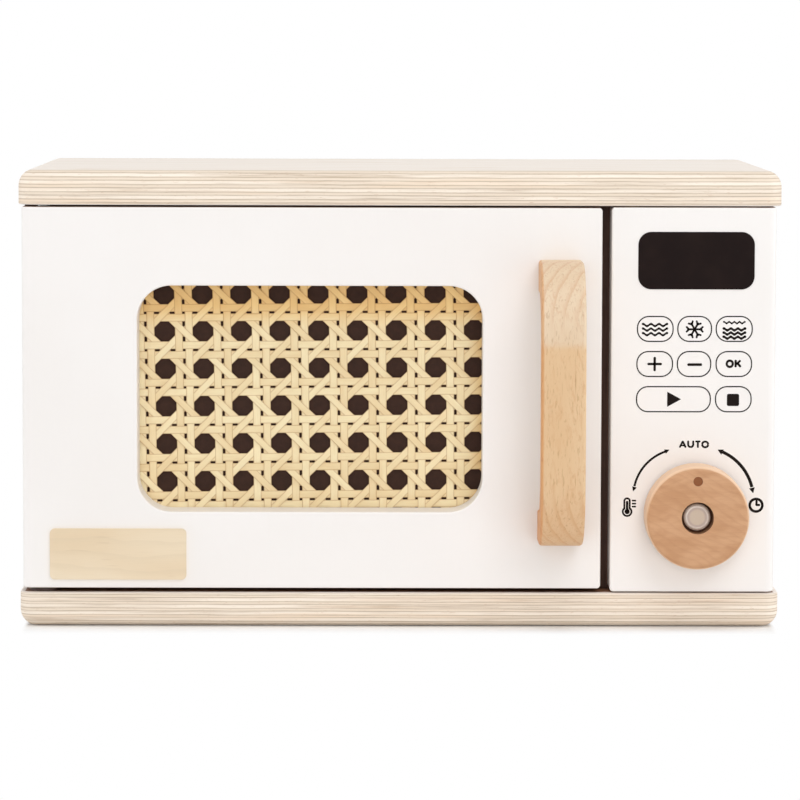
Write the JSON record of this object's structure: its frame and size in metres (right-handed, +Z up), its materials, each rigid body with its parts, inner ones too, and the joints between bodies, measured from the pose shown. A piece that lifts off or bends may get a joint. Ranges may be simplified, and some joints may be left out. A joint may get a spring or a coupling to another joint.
{
  "type": "toy microwave oven",
  "caption": "Wooden toy microwave oven with a hinged woven-cane door and bow handle, a control panel with a clicking dial, and a turntable inside.",
  "frame": {"origin": "centre of the base slab's underside", "axes": "+X to the right along the width as seen from the front, +Y to the back, +Z up"},
  "size_m": [0.324, 0.205, 0.195],
  "materials": {
    "birch_plywood": "satin clear lacquer",
    "white_painted_wood": "satin white paint",
    "brown_stained_wood": "dark brown stain",
    "dark_hardboard": "matt brown",
    "woven_cane": "natural cane",
    "beech": "oiled",
    "oak": "oiled",
    "black_acrylic": "gloss",
    "steel": "zinc plated",
    "spring_steel": "blued",
    "nickel_plate": "satin nickel",
    "brown_nylon": "dark brown",
    "nylon": "natural"
  },
  "bodies": {
    "case": {"base_slab": "birch_plywood", "top_slab": "birch_plywood", "left_side_panel": "white_painted_wood", "right_side_panel": "white_painted_wood", "divider_panel": "brown_stained_wood", "back_panel": "white_painted_wood", "control_panel": "white_painted_wood", "display_plate": "black_acrylic", "upper_hinge_pin": "steel", "lower_hinge_pin": "steel", "hinge_washer": "brown_nylon", "case_magnet": "nickel_plate", "dial_washer": "nylon", "click_spring": "spring_steel", "click_spring_screw": "steel", "turntable_pin": "beech", "turntable_washer": "nylon", "top_dowels": "beech", "panel_dowels": "beech", "base_screws": "steel", "back_screws": "steel"},
    "door": {"door_panel": "white_painted_wood", "cane_panel": "woven_cane", "cane_backing": "dark_hardboard", "backing_screws": "steel", "door_handle": "beech", "handle_screws": "steel", "door_magnet": "nickel_plate", "blank_plaque": "birch_plywood"},
    "dial": {"dial_knob": "oak", "dial_axle": "steel", "dial_cap": "nickel_plate", "click_wheel": "nylon", "axle_retainer": "spring_steel"},
    "turntable": {"turntable_plate": "beech"}
  },
  "joints": [
    {"name": "door_swing", "type": "hinge", "parent": "case", "child": "door", "pos_m": [-0.1515, -0.07375, 0.098], "axis": [0, 0, -1], "range_deg": [0, 180]},
    {"name": "dial_turn", "type": "hinge", "parent": "case", "child": "dial", "pos_m": [0.12575, -0.0825, 0.0491], "axis": [0, -1, 0], "continuous": true, "deforming": ["click_spring"]},
    {"name": "turntable_spin", "type": "hinge", "parent": "case", "child": "turntable", "pos_m": [-0.0348, 0.00775, 0.0168], "axis": [0, 0, 1], "continuous": true}
  ]
}
